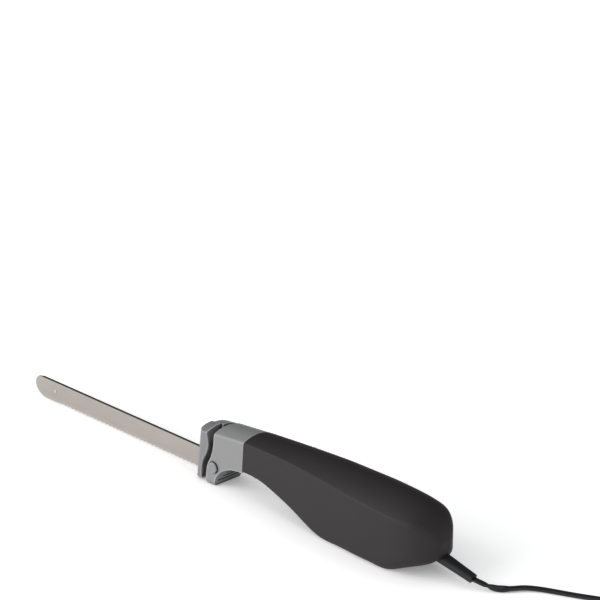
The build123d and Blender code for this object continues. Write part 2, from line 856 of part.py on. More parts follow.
def worm_wheel():
    lead_angle = atan(gear_module / 2 / worm_pitch_radius)
    twist = gear_thickness / 2 * tan(lead_angle) / pitch_radius
    half = gear_thickness / 2
    faces = [Plane.XZ.offset(-y) * gear_profile(turn)
             for y, turn in ((-half, twist), (half, -twist))]
    wheel = loft(faces, ruled=True)
    wheel -= rod_y(axle_radius + run_gap, -body_width, body_width, 0, 0)
    return Pos(gear_x, 0, gear_z) * wheel


def eccentric(side):
    """A round cam on one face of the wheel, with the hub that spaces it out."""
    along = -rest_shift
    up = sqrt(half_stroke**2 - rest_shift**2)
    hub = rod_y(axle_radius * 1.9, side * gear_thickness / 2, side * plate_inner, 0, 0)
    cam = rod_y(eccentric_radius, side * plate_inner, side * (plate_inner + eccentric_thickness),
                -side * along, -side * up)
    bored = hub + cam - rod_y(axle_radius + run_gap, -body_width, body_width, 0, 0)
    return Pos(gear_x, 0, gear_z) * bored


def gear_axle():
    half = frame_inner + frame_plate
    return rod_y(axle_radius, -half, half, gear_x, gear_z)


def worm_root():
    return worm_pitch_radius - gear_module - mesh_gap


def motor_shaft():
    """Steel shaft with the worm's single thread on its front end."""
    lead = pi * gear_module
    worm_length = worm_turns * lead
    front = frame_front - worm_length / 2
    end = stator_end + bracket_setback + bearing_width - gear_x + worm_length / 2
    line = Helix(pitch=lead, height=worm_length, radius=worm_root())
    tip = worm_pitch_radius + gear_module - worm_root()
    base_half, tip_half = lead * 0.34, lead * 0.13
    sink = overrun / 5
    profile = Plane(line @ 0, x_dir=(1, 0, 0), z_dir=line % 0) * polygon([
        (-sink, -base_half), (tip, -tip_half), (tip, tip_half), (-sink, base_half)])
    thread = sweep(profile, path=line, is_frenet=True)
    core = Pos(0, 0, -front) * extrude(Circle(worm_root()), front + worm_length + overrun)
    shaft = core + thread + Pos(0, 0, worm_length + overrun) * extrude(
        Circle(shaft_radius), end - worm_length - overrun)
    return Pos(gear_x - worm_length / 2, 0, motor_z) * (Rot(0, 90, 0) * shaft)


def gear_frame():
    """Two side plates, a rear bridge that holds the front bearing, and a front bridge with a bush."""
    front, back = gear_x - frame_front, gear_x + frame_back
    feet = [front + (back - front) * share for share in frame_foot_shares]
    plate = polygon([(front, frame_top)] + [(x, low_at(x) + wall + fit_gap) for x in feet]
                    + [(back, frame_top)])
    frame = slab(plate, -frame_inner - frame_plate, -frame_inner)
    frame += slab(plate, frame_inner, frame_inner + frame_plate)
    bridge_low = low_at(back) + wall + overrun
    frame += block(back - bridge_thickness, back, -frame_inner, frame_inner, bridge_low, frame_top)
    frame -= rod_x(bearing_radius, back - bearing_width - overrun, back + overrun, 0, motor_z)
    arm_top = tang_z - fit_gap * 3 + slider_arm_height
    frame += block(front, front + bridge_thickness, -frame_inner, frame_inner,
                   arm_top + 4 * fit_gap, frame_top)
    frame += rod_x(bush_radius, front, front + bridge_thickness * 1.5, 0, motor_z)
    frame -= rod_x(worm_root() + run_gap, front - overrun, front + 2 * bridge_thickness, 0, motor_z)
    return frame - rod_y(axle_radius, -body_width, body_width, gear_x, gear_z)


def slider_guide():
    """The block that both slider bars run through."""
    front = split_x + guide_front
    low = low_at(front) + wall + fit_gap
    body = block(front, front + guide_length, -guide_half_width, guide_half_width, low, guide_top)
    body = chamfer(body.edges().filter_by(Axis.X).group_by(Axis.Z)[0], guide_chamfer)
    return body - slider_channel(front - overrun, front + guide_length + overrun)


def slider_channel(start, end):
    """The space that both slider bars run in."""
    outer = slider_inner + slider_thickness + slide_gap
    return block(start, end, -outer, outer, tang_z - fit_gap * 3 - slide_gap,
                 tang_z + tang_height - fit_gap + slide_gap)


def bearing(x):
    ring = rod_x(bearing_radius, x, x + bearing_width, 0, motor_z)
    return ring - rod_x(shaft_radius + run_gap, x - overrun, x + bearing_width + overrun, 0, motor_z)


def stud_places():
    angles = [radians(45 + 90 * turn) for turn in range(4)]
    return [(stud_circle * cos(angle), motor_z + stud_circle * sin(angle)) for angle in angles]


def stator_core():
    core = rod_x(stator_radius, stator_x, stator_end, 0, motor_z)
    core -= rod_x(stator_bore, stator_x - overrun, stator_end + overrun, 0, motor_z)
    half = coil_outer
    for side in (-1, 1):
        core -= block(stator_x - overrun, stator_end + overrun, side * stator_bore / 2, side * half,
                      motor_z - coil_high, motor_z + coil_high)
    for y, z in stud_places():
        core -= rod_x(stud_radius, stator_x - overrun, stator_end + overrun, y, z)
    return core


def field_coil(turn):
    """One field winding: two sides in the core's slots and an arched end turn at each end."""
    x0, x1 = stator_x - coil_overhang, stator_end + coil_overhang
    ring = rod_x(coil_outer, x0, x1, 0, 0) - rod_x(coil_inner, x0 - overrun, x1 + overrun, 0, 0)
    ring &= block(x0, x1, -body_width, body_width, coil_low, body_height)
    ring -= block(stator_x - fit_gap, stator_end + fit_gap, -body_width, body_width,
                  coil_high - fit_gap, body_height)
    return Pos(0, 0, motor_z) * (Rot(180 * turn, 0, 0) * ring)


def armature_core():
    x0, x1 = stator_x, stator_end
    core = rod_x(armature_radius, x0, x1, 0, motor_z)
    for slot in range(armature_slots):
        angle = 2 * pi * slot / armature_slots
        y, z = armature_radius * cos(angle), armature_radius * sin(angle)
        core -= rod_x(slot_radius, x0 - overrun, x1 + overrun, y, motor_z + z)
    return core - rod_x(shaft_radius, x0 - overrun, x1 + overrun, 0, motor_z)


def armature_winding():
    heads = []
    for x in (stator_x - winding_length, stator_end):
        head = rod_x(winding_radius, x, x + winding_length, 0, motor_z)
        head = fillet(head.edges().filter_by(GeomType.CIRCLE), winding_length / 3)
        heads.append(head - rod_x(shaft_radius, x - overrun, x + winding_length + overrun, 0, motor_z))
    return heads


def commutator():
    x0 = stator_end + commutator_setback
    x1 = x0 + commutator_length
    drum = rod_x(commutator_radius, x0, x1, 0, motor_z)
    drum -= rod_x(shaft_radius, x0 - overrun, x1 + overrun, 0, motor_z)
    for bar in range(commutator_bars):
        cut = block(x0 - overrun, x1 - commutator_length / 8, commutator_radius - bar_gap,
                    commutator_radius + overrun, -bar_gap / 2, bar_gap / 2)
        drum -= Pos(0, 0, motor_z) * (Rot(360 * bar / commutator_bars, 0, 0) * cut)
    return drum


def cooling_fan():
    x0 = stator_end + fan_setback
    x1 = x0 + fan_length
    fan = rod_x(fan_hub, x0, x1, 0, motor_z)
    fan += rod_x(fan_radius, x0, x0 + fan_blade, 0, motor_z)
    for number in range(fan_blades):
        vane = block(x0, x1, fan_hub - fan_blade, fan_radius, -fan_blade / 2, fan_blade / 2)
        fan += Pos(0, 0, motor_z) * (Rot(360 * number / fan_blades, 0, 0) * vane)
    return fan - rod_x(shaft_radius, x0 - overrun, x1 + overrun, 0, motor_z)


def motor_bracket():
    """Rear end plate of the motor, with the rear bearing's seat."""
    x0 = stator_end + bracket_setback
    plate = rod_x(bracket_radius, x0, x0 + bracket_thickness, 0, motor_z)
    plate += rod_x(bearing_radius + wall, x0, x0 + bearing_width, 0, motor_z)
    plate -= rod_x(bearing_radius, x0 - overrun, x0 + bearing_width + overrun, 0, motor_z)
    for y, z in stud_places():
        plate -= rod_x(stud_radius, x0 - overrun, x0 + bracket_thickness + overrun, y, z)
    return plate


def motor_studs():
    studs = []
    x1 = stator_end + bracket_setback + bracket_thickness
    for y, z in stud_places():
        stud = rod_x(stud_radius, stator_x, x1, y, z)
        studs.append(stud + rod_x(stud_radius * 1.7, x1, x1 + stud_radius, y, z))
    return studs


def brush_x():
    return stator_end + commutator_setback + commutator_length / 2


def brush_holder(side):
    x = brush_x()
    half = brush_size / 2
    start = commutator_radius + 2 * brush_setback + fit_gap
    end = start + holder_length
    outer = half + holder_wall
    tube = block(x - outer, x + outer, side * start, side * end, motor_z - outer, motor_z + outer)
    tube -= block(x - half, x + half, side * (start - overrun), side * (end - holder_wall),
                  motor_z - half, motor_z + half)
    arm = block(x + half, stator_end + bracket_setback, side * (end - 2 * holder_wall), side * end,
                motor_z - outer, motor_z + outer)
    return tube + arm


def carbon_brush(side):
    x = brush_x()
    half = brush_size / 2 - run_gap
    start = commutator_radius + brush_setback
    brush = block(x - half, x + half, side * (start - overrun / 2), side * (start + brush_length),
                  motor_z - half, motor_z + half)
    return brush - rod_x(start, x - brush_size, x + brush_size, 0, motor_z)


def brush_spring(side):
    x = brush_x()
    start = commutator_radius + brush_setback + brush_length
    end = commutator_radius + 2 * brush_setback + fit_gap + holder_length - holder_wall
    spring = coil_spring(brush_size / 2 - fit_gap, spring_wire * 0.7, 3, end - start)
    return Pos(x, side * start, motor_z) * (Rot(-90 * side, 0, 0) * spring)


def strain_relief():
    boot = boot_form()
    root = boot_plane(0)
    flange = extrude(root * RectangleRounded(
        boot_width + 2 * flange_margin, boot_height + 2 * flange_margin, boot_height / 2), -flange_thickness)
    return boot + flange


def cord_clamp():
    """Bar that grips the cord against the shell floor, inside the handle."""
    axis = boot_axis().normalized()
    centre = behind(boot_root) - axis * (flange_thickness + fit_gap + clamp_length / 2)
    side = Vector(0, 0, 1).cross(axis)
    frame = Plane(centre, x_dir=side, z_dir=axis)
    bar = extrude(frame * Rectangle(clamp_width, cord_width + 2 * clamp_height), clamp_length / 2, both=True)
    return bar - extrude(frame * Circle(cord_width / 2), clamp_length, both=True)


def cord_points():
    start = behind(boot_tip) + boot_axis().normalized() * cord_gap
    end = behind(coil_join) - coil_forward() * fit_gap
    return [start] + [behind(point) for point in cord_run] + [end]


def rounded_run(points):
    """Straight runs joined by tangent arcs, each as large as its two runs allow."""
    radii = []
    for before, corner, after in zip(points, points[1:], points[2:]):
        turn = (corner - before).get_angle(after - corner)
        run = min((corner - before).length, (after - corner).length)
        radii.append(0.45 * run / tan(radians(turn) / 2))
    return FilletPolyline(*points, radius=radii), radii


def power_cord():
    line, radii = rounded_run(cord_points())
    tube = sweep(Plane(line @ 0, z_dir=line % 0) * Circle(cord_width / 2), path=line)
    print("cord length", round(line.length))
    return tube


def half_turn(start, heading, end):
    """Two tangent arcs from start to end, where the end heading is opposite to the start heading."""
    span = end - start
    middle = (start + end) / 2 + heading * (span.length / 2)
    return [TangentArc(start, middle, tangent=heading), TangentArc(end, middle, tangent=heading)]


def coil_forward():
    return Vector(cos(radians(coil_heading)), sin(radians(coil_heading)), 0)


def coil_stations():
    """Ends of the half turns: spiralling in, climbing a layer, and spiralling out again."""
    join = behind(coil_join)
    forward = coil_forward()
    inward = Vector(forward.Y, -forward.X, 0)
    centre = join + inward * coil_radius
    stations = [(join, forward)]
    sign = -1
    halves = 2 * coil_turns
    radius = coil_radius
    height = 0
    for number in range(2 * halves + 1):
        if number <= halves:
            radius -= coil_pitch / 2
        else:
            radius += coil_pitch / (1 if number == halves + 1 else 2)
        height = coil_pitch if number >= halves else 0
        sign = -sign
        place = centre + inward * (sign * radius) + Vector(0, 0, height)
        stations.append((place, forward * -sign))
    return stations


def coil_line():
    stations = coil_stations()
    edges = []
    for (start, heading), (end, after) in zip(stations, stations[1:]):
        edges += half_turn(start, heading, end)
    end, heading = stations[-1]
    edges.append(Line(end, end + heading * plug_lead))
    return Wire(edges)


def cord_coil():
    line = coil_line()
    tube = sweep(Plane(line @ 0, z_dir=line % 0) * Circle(cord_width / 2), path=line)
    count = 1400
    points = [line @ (step / count) for step in range(count + 1)]
    step = line.length / count
    skip = int(3 * cord_width / step)
    least = min((points[a] - points[b]).length
                for a in range(0, count, 3) for b in range(a + skip, count, 3))
    print("coil length", round(line.length), "least gap", round(least - cord_width, 2),
          "volume", round(tube.volume), "of", round(pi * cord_width**2 / 4 * line.length))
    return tube


def cord_tie():
    """A flat band round the coil's turns, on the side that the cord comes from."""
    (join, forward), (second, back) = coil_stations()[:2]
    inward = Vector(forward.Y, -forward.X, 0)
    centre = join + inward * coil_radius
    band_low = join.Z - cord_width / 2 - tie_gap
    band_high = join.Z + coil_pitch + cord_width / 2 + tie_gap
    inner = coil_radius - coil_turns * coil_pitch - cord_width / 2 - coil_pitch / 2 - tie_gap
    outer = coil_radius + coil_pitch / 2 + cord_width / 2 + tie_gap
    middle = centre + forward * (-(inner + outer) / 2)
    frame = Plane((middle.X, middle.Y, (band_low + band_high) / 2), x_dir=forward, z_dir=inward)
    hole = Rectangle(outer - inner, band_high - band_low)
    band = Rectangle(outer - inner + 2 * tie_thickness, band_high - band_low + 2 * tie_thickness)
    return extrude(frame * (band - hole), tie_width / 2, both=True)


def plug_plane():
    end, heading = coil_stations()[-1]
    start = end + heading * (plug_lead + fit_gap)
    return Plane(start, x_dir=Vector(0, 0, 1).cross(heading), z_dir=heading), start


def plug_body():
    frame, start = plug_plane()
    height = 2 * start.Z
    neck = loft([frame * RectangleRounded(cord_width * 1.6, cord_width * 1.5, cord_width * 0.6),
                 frame.offset(plug_neck) * RectangleRounded(plug_width * 0.7, height * 0.8, plug_round)])
    body = extrude(frame.offset(plug_neck) * RectangleRounded(plug_width, height, plug_round),
                   plug_length - plug_neck)
    back = body.faces().sort_by(lambda face: (face.center() - start).length)[-1]
    body = fillet(back.edges(), plug_round / 3)
    return neck + body


def plug_prongs():
    frame, start = plug_plane()
    prongs = []
    for side in (-1, 1):
        blank = Pos(side * prong_spacing / 2, 0, 0) * Rectangle(prong_thickness, prong_width)
        root = frame.offset(plug_length) * blank
        prongs.append(extrude(root, prong_length))
    return prongs


def pair(maker):
    return [maker(-1), maker(1)]


def guard(side):
    return guard_half(side) - blade(side)


left_shell, right_shell = handle_shells()
nodes = {
    "blade_left": blade(-1),
    "blade_right": blade(1),
    "guard_left": guard(-1),
    "guard_right": guard(1),
    "blade_rivet": blade_rivet(),
    "nose_housing": nose_housing(),
    "handle_shell_left": left_shell,
    "handle_shell_right": right_shell,
    "housing_screws": housing_screws(),
    "drive_slider_left": drive_slider(-1),
    "drive_slider_right": drive_slider(1),
    "slider_guide": slider_guide(),
    "latch_rocker_left": latch_rocker(-1),
    "latch_rocker_right": latch_rocker(1),
    "release_button_left": release_button(-1),
    "release_button_right": release_button(1),
    "button_spring_left": button_spring(-1),
    "button_spring_right": button_spring(1),
    "worm_wheel": worm_wheel(),
    "eccentric_left": eccentric(-1),
    "eccentric_right": eccentric(1),
    "gear_axle": gear_axle(),
    "gear_frame": gear_frame(),
    "motor_shaft": motor_shaft(),
    "front_bearing": bearing(gear_x + frame_back - bearing_width),
    "rear_bearing": bearing(stator_end + bracket_setback),
    "stator_core": stator_core(),
    "field_coils": [field_coil(0), field_coil(1)],
    "armature_core": armature_core(),
    "armature_winding": armature_winding(),
    "commutator": commutator(),
    "cooling_fan": cooling_fan(),
    "motor_bracket": motor_bracket(),
    "motor_studs": motor_studs(),
    "brush_holders": pair(brush_holder),
    "carbon_brushes": pair(carbon_brush),
    "brush_springs": pair(brush_spring),
    "trigger": trigger(),
    "trigger_pin": trigger_pin(),
    "trigger_spring": trigger_spring(),
    "switch_body": switch_body(),
    "switch_plunger": switch_plunger(),
    "strain_relief": strain_relief(),
    "cord_clamp": cord_clamp(),
    "power_cord": power_cord(),
    "cord_coil": cord_coil(),
    "cord_tie": cord_tie(),
    "plug_body": plug_body(),
    "plug_prongs": plug_prongs(),
}

os.makedirs("parts", exist_ok=True)
for name, made in nodes.items():
    pieces = made if isinstance(made, list) else [made]
    solids = [solid for piece in pieces for solid in piece.solids()]
    export_step(Compound(children=solids) if len(solids) > 1 else solids[0], f"parts/{name}.step")
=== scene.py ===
import bmesh
import bpy
from math import cos, pi, radians, sin, sqrt
from mathutils import Matrix, Vector


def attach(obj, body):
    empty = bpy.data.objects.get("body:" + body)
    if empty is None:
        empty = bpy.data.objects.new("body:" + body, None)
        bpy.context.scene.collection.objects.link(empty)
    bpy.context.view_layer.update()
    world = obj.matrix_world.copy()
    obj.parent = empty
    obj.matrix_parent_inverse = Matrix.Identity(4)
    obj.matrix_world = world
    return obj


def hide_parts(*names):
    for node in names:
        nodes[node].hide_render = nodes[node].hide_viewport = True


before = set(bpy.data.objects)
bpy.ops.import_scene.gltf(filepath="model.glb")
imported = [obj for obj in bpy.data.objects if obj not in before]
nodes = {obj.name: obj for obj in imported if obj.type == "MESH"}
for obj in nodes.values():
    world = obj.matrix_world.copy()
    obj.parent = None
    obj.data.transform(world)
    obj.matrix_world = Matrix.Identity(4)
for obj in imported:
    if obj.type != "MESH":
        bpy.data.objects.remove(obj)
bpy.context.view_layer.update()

mm = 0.001
print("frame loaded")


# Shader helpers

class Tap:  # one socket, with plain arithmetic on it
    def __init__(self, recipe, socket):
        self.recipe, self.socket = recipe, socket

    def sum(self, operation, *values):
        return self.recipe.node("ShaderNodeMath", {"operation": operation}, dict(enumerate(values))).out(0)

    def __add__(self, other):
        return self.sum("ADD", self, other)

    def __radd__(self, other):
        return self.sum("ADD", other, self)

    def __sub__(self, other):
        return self.sum("SUBTRACT", self, other)

    def __rsub__(self, other):
        return self.sum("SUBTRACT", other, self)

    def __mul__(self, other):
        return self.sum("MULTIPLY", self, other)

    def __rmul__(self, other):
        return self.sum("MULTIPLY", other, self)

    def __truediv__(self, other):
        return self.sum("DIVIDE", self, other)

    def __rtruediv__(self, other):
        return self.sum("DIVIDE", other, self)

    def clamped(self):
        return self.recipe.node("ShaderNodeClamp", {}, {"Value": self}).out(0)

    def above(self, start, soft):  # 0 below start, 1 past start + soft
        return ((self - start) / soft).clamped()


class Made:  # a node and its outputs
    def __init__(self, recipe, node):
        self.recipe, self.node = recipe, node

    def out(self, name):
        return Tap(self.recipe, self.node.outputs[name])


class Recipe:  # the nodes of one material, or of the world
    sockets = {"color": "Base Color", "rough": "Roughness", "metal": "Metallic", "normal": "Normal",
               "coat": "Coat Weight", "specular": "Specular IOR Level", "glow": "Emission Color",
               "glowStrength": "Emission Strength", "skyColor": "Color", "skyStrength": "Strength"}

    def __init__(self, owner, shader="Principled BSDF", place="Object"):
        owner.use_nodes = True
        self.owner, self.tree = owner, owner.node_tree
        self.shader = self.tree.nodes[shader]
        self.place = self.node("ShaderNodeTexCoord", {}, {}).out(place)

    def node(self, kind, settings, inputs):
        made = self.tree.nodes.new(kind)
        for key, value in settings.items():
            setattr(made, key, value)
        for key, value in inputs.items():
            self.feed(made.inputs[key], value)
        return Made(self, made)

    def feed(self, socket, value):
        if isinstance(value, Tap):
            self.tree.links.new(value.socket, socket)
        elif isinstance(value, tuple) and len(value) == 3 and len(socket.default_value) == 4:
            socket.default_value = (*value, 1)
        else:
            socket.default_value = value

    def set(self, **values):
        for key, value in values.items():
            self.feed(self.shader.inputs[self.sockets[key]], value)
        return self.owner

    def noise(self, scale, detail=3.0, stretch=(1, 1, 1), rough=0.5):
        spot = self.node("ShaderNodeMapping", {}, {"Vector": self.place, "Scale": stretch}).out(0)
        return self.node("ShaderNodeTexNoise", {}, {"Vector": spot, "Scale": scale, "Detail": detail,
                                                    "Roughness": rough}).out("Fac")

    def cells(self, scale):
        return self.node("ShaderNodeTexVoronoi", {},
                         {"Vector": self.place, "Scale": scale}).out("Distance")

    def waves(self, direction, scale, distortion, detail):
        return self.node("ShaderNodeTexWave", {"bands_direction": direction},
                         {"Vector": self.place, "Scale": scale, "Distortion": distortion,
                          "Detail": detail}).out("Fac")

    def mix(self, factor, first, second):
        return self.node("ShaderNodeMix", {"data_type": "RGBA"},
                         {"Factor": factor, 6: first, 7: second}).out(2)

    def shades(self, factor, base, pair):  # from one shade of a colour to another
        return self.mix(factor, *(shade(base, by) for by in pair))

    def dot(self, first, second):
        return self.node("ShaderNodeVectorMath", {"operation": "DOT_PRODUCT"},
                         {0: first, 1: second}).out("Value")

    def hollow(self, reach):  # 0 on open surface, towards 1 deep in a groove or gap
        return 1 - self.node("ShaderNodeAmbientOcclusion", {"samples": 8}, {"Distance": reach}).out("AO")

    def edge(self, radius):  # 0 on a face, more on an edge
        soft = self.node("ShaderNodeBevel", {"samples": 6}, {"Radius": radius}).out(0)
        true = self.node("ShaderNodeNewGeometry", {}, {}).out("Normal")
        return 1 - self.dot(soft, true)

    def bump(self, height, strength, distance):
        return self.node("ShaderNodeBump", {}, {"Height": height, "Strength": strength,
                                                "Distance": distance}).out(0)


def material(name):
    return Recipe(bpy.data.materials.new(name))


def shade(base, by):
    return tuple(max(0.0, min(1.0, value * by)) for value in base)


# Finishes

bladeFinish = {"steel": (0.412, 0.378, 0.348), "rough": 0.30, "grain": 2600, "drawn": (0.02, 1, 1),
               "grainShade": 0.78, "grainAmount": 0.35, "grainRough": 0.12, "grainRelief": 0.10,
               "grainDepth": 0.04 * mm, "cloud": 38, "cloudShades": (0.93, 1.06), "cloudRough": 0.06,
               "bevelTop": 4.6 * mm, "bevelSoft": 0.25 * mm, "bevelShade": 1.22, "bevelAmount": 0.55,
               "bevelRough": -0.06}


def bladeSteel(name):
    facts = bladeFinish
    steel = facts["steel"]
    r = material(name)
    grain = r.noise(facts["grain"], 4, facts["drawn"])
    cloud = r.noise(facts["cloud"], 4)
    height = r.node("ShaderNodeSeparateXYZ", {}, {"Vector": r.place}).out("Z")
    bevel = 1 - height.above(facts["bevelTop"], facts["bevelSoft"])  # the ground strip along the teeth
    color = r.shades(cloud, steel, facts["cloudShades"])
    color = r.mix(grain * facts["grainAmount"], color, shade(steel, facts["grainShade"]))
    color = r.mix(bevel * facts["bevelAmount"], color, shade(steel, facts["bevelShade"]))
    rough = facts["rough"] + grain * facts["grainRough"] + bevel * facts["bevelRough"]
    return r.set(color=color, metal=1.0, rough=rough + cloud * facts["cloudRough"],
                 normal=r.bump(grain, facts["grainRelief"], facts["grainDepth"]))


plasticFinishes = {  # gap, rim and groove: how much of each layer below, of painted shade in gaps, painted highlight on rims and painted shade in grooves
    "greyPlastic": {"base": (0.270, 0.272, 0.270), "rough": 0.40, "grain": 2600, "relief": 0.10,
                    "drift": 0.04, "gap": 0.3, "rim": 0.55, "groove": 0.9},
    "guardPlastic": {"base": (0.225, 0.218, 0.226), "rough": 0.36, "grain": 2600, "relief": 0.10,
                     "drift": 0.05, "gap": 1.0, "rim": 0.8, "groove": 0.6},
    "buttonPlastic": {"base": (0.270, 0.270, 0.282), "rough": 0.30, "grain": 2600, "relief": 0.06,
                      "drift": 0.03, "rim": 0.4, "groove": 0.9},
    "blackPlastic": {"base": (0.0285, 0.0243, 0.0252), "rough": 0.56, "grain": 2000, "relief": 0.24,
                     "drift": 0.10, "specular": 0.26},
    "triggerPlastic": {"base": (0.024, 0.023, 0.024), "rough": 0.36, "grain": 2400, "relief": 0.12,
                       "drift": 0.08},
    "innerPlastic": {"base": (0.62, 0.60, 0.54), "rough": 0.42, "grain": 2000, "relief": 0.12,
                     "drift": 0.05},
    "nylon": {"base": (0.78, 0.76, 0.69), "rough": 0.38, "grain": 1500, "relief": 0.08, "drift": 0.04},
    "carbon": {"base": (0.03, 0.03, 0.03), "rough": 0.7, "grain": 2200, "relief": 0.4, "drift": 0.2},
    "paper": {"base": (0.55, 0.55, 0.53), "rough": 0.8, "grain": 900, "relief": 0.3, "drift": 0.08},
}
plasticSkin = {"grainDepth": 0.06 * mm, "cloud": 30, "cloudRough": 0.08, "dust": 520, "dustStart": 0.62,
               "dustSoft": 0.2, "dustAmount": 0.12, "dustShade": 1.5, "dustRough": 0.05, "dustRelief": 0.3}
paintedLightLayers = {  # painted shade and painted highlight, laid on in this order
    "gap": {"reach": 9 * mm, "start": 0.28, "soft": 0.42, "shade": 0.12},  # painted shade, dark in the gap between guard and nose
    "rim": {"reach": 1.3 * mm, "start": 0.004, "soft": 0.07, "shade": 3.4},  # painted highlight along edges
    "groove": {"reach": 1.8 * mm, "start": 0.07, "soft": 0.13, "shade": 0.05},  # painted shade in the grooves
}


def moulded(name, base, rough, grain, relief, drift, specular=0.5, **paintedLight):
    skin = plasticSkin
    r = material(name)
    fine = r.cells(grain)
    cloud = r.noise(skin["cloud"], 5)
    dust = r.noise(skin["dust"], 6, rough=0.7)
    color = r.shades(cloud, base, (1 - drift, 1 + drift))
    color = r.mix(dust.above(skin["dustStart"], skin["dustSoft"]) * skin["dustAmount"], color,
                  shade(base, skin["dustShade"]))
    # painted shade in gaps and grooves, painted highlight on edges
    for kind, layer in paintedLightLayers.items():
        if kind in paintedLight:
            mask = r.edge(layer["reach"]) if kind == "rim" else r.hollow(layer["reach"])
            color = r.mix(mask.above(layer["start"], layer["soft"]) * paintedLight[kind], color,
                          shade(base, layer["shade"]))
    return r.set(color=color, specular=specular,
                 rough=rough + cloud * skin["cloudRough"] + dust * skin["dustRough"],
                 normal=r.bump(fine + dust * skin["dustRelief"], relief, skin["grainDepth"]))


metalFinishes = {
    "shaftSteel": {"base": (0.56, 0.55, 0.54), "rough": 0.22},
    "springSteel": {"base": (0.62, 0.61, 0.60), "rough": 0.20},
    "zinc": {"base": (0.58, 0.60, 0.62), "rough": 0.32},
    "bronze": {"base": (0.50, 0.33, 0.17), "rough": 0.42},
    "copper": {"base": (0.72, 0.36, 0.20), "rough": 0.26},
    "brass": {"base": (0.75, 0.58, 0.28), "rough": 0.24},
}
metalSkin = {"grain": 1800, "grainRough": 0.14, "relief": 0.12, "grainDepth": 0.03 * mm,
             "cloud": 60, "cloudShades": (0.9, 1.08), "cloudRough": 0.05}


def metal(name, base, rough):
    r = material(name)
    lines = r.noise(metalSkin["grain"], 3)
    cloud = r.noise(metalSkin["cloud"], 4)
    return r.set(color=r.shades(cloud, base, metalSkin["cloudShades"]), metal=1.0,
                 rough=rough + lines * metalSkin["grainRough"] + cloud * metalSkin["cloudRough"],
                 normal=r.bump(lines, metalSkin["relief"], metalSkin["grainDepth"]))


coreFinish = {"base": (0.30, 0.30, 0.31), "rough": 0.42, "metal": 0.85, "sheets": 320, "wander": 0.2,
              "sheetShades": (0.7, 1.15), "cloud": 90, "cloudRough": 0.15, "relief": 0.35,
              "depth": 0.2 * mm}


def laminated(name):
    facts = coreFinish
    r = material(name)
    sheets = r.waves("X", facts["sheets"], facts["wander"], 2)
    cloud = r.noise(facts["cloud"], 4)
    return r.set(color=r.shades(sheets, facts["base"], facts["sheetShades"]), metal=facts["metal"],
                 rough=facts["rough"] + cloud * facts["cloudRough"],
                 normal=r.bump(sheets, facts["relief"], facts["depth"]))


windingFinish = {"base": (0.55, 0.20, 0.06), "rough": 0.34, "metal": 0.75, "lacquer": 0.5,
                 "strands": 420, "wander": 1.2, "strandShades": (0.55, 1.15),
                 "relief": 0.6, "depth": 0.3 * mm}


def wound(name):
    facts = windingFinish
    r = material(name)
    strands = r.waves("DIAGONAL", facts["strands"], facts["wander"], 1)
    return r.set(color=r.shades(strands, facts["base"], facts["strandShades"]), metal=facts["metal"],
                 rough=facts["rough"], coat=facts["lacquer"],
                 normal=r.bump(strands, facts["relief"], facts["depth"]))


vinylFinish = {"dark": (0.010, 0.010, 0.011), "light": (0.020, 0.020, 0.022), "rough": 0.46,
               "specular": 0.35, "cloud": 70, "cloudRough": 0.12, "scuff": 900, "scuffStart": 0.6,
               "scuffSoft": 0.2, "scuffRough": 0.15, "relief": 0.05, "depth": 0.1 * mm}


def cordVinyl(name):
    facts = vinylFinish
    r = material(name)
    cloud = r.noise(facts["cloud"], 4)
    scuff = r.noise(facts["scuff"], 5, rough=0.7)
    scuffed = scuff.above(facts["scuffStart"], facts["scuffSoft"])
    return r.set(color=r.mix(cloud, facts["dark"], facts["light"]), specular=facts["specular"],
                 rough=facts["rough"] + cloud * facts["cloudRough"] + scuffed * facts["scuffRough"],
                 normal=r.bump(scuff, facts["relief"], facts["depth"]))


finishes = {"bladeSteel": bladeSteel("bladeSteel"), "coreSteel": laminated("coreSteel"),
            "windingCopper": wound("windingCopper"), "cordVinyl": cordVinyl("cordVinyl")}
for name, facts in plasticFinishes.items():
    finishes[name] = moulded(name, **facts)
for name, facts in metalFinishes.items():
    finishes[name] = metal(name, **facts)
print("finishes ready")


# The nodes of the frame, each in its finish

dressFacts = {"sharpAngle": 32, "wears": {
    "bladeSteel": ["blade_left", "blade_right"],
    "guardPlastic": ["guard_left", "guard_right"],
    "greyPlastic": ["nose_housing"],
    "buttonPlastic": ["release_button_left", "release_button_right"],
    "blackPlastic": ["handle_shell_left", "handle_shell_right"],
    "triggerPlastic": ["trigger"],
    "innerPlastic": ["slider_guide", "gear_frame", "switch_body", "brush_holders"],
    "nylon": ["switch_plunger", "drive_slider_left", "drive_slider_right", "worm_wheel", "eccentric_left",
              "eccentric_right", "latch_rocker_left", "latch_rocker_right", "cooling_fan"],
    "coreSteel": ["stator_core", "armature_core"],
    "windingCopper": ["field_coils", "armature_winding"],
    "copper": ["commutator"],
    "brass": ["plug_prongs"],
    "carbon": ["carbon_brushes"],
    "bronze": ["front_bearing", "rear_bearing"],
    "zinc": ["housing_screws", "motor_bracket", "motor_studs"],
    "shaftSteel": ["blade_rivet", "gear_axle", "motor_shaft", "trigger_pin"],
    "springSteel": ["trigger_spring", "button_spring_left", "button_spring_right", "brush_springs"],
    "cordVinyl": ["strain_relief", "cord_clamp", "plug_body"],
}}


def dress(obj, finish):
    obj.data.materials.clear()
    obj.data.materials.append(finish)
    for face in obj.data.polygons:
        face.use_smooth = True
    obj.data.set_sharp_from_angle(angle=radians(dressFacts["sharpAngle"]))


for finish, names in dressFacts["wears"].items():
    for name in names:
        dress(nodes[name], finishes[finish])
print("nodes dressed")


# Camera, at the photograph's height, distance and angle

cameraFacts = {"azimuth": 46.0, "elevation": 21.0, "focal": 2482.0, "distance": 2000.0 * mm,
               "pixel": (213.5, 486.0), "point": Vector((3, -15, 0)) * mm, "frame": 600, "sensor": 36,
               "clip": (0.05, 20)}


def placed(obj):
    bpy.context.scene.collection.objects.link(obj)
    return obj


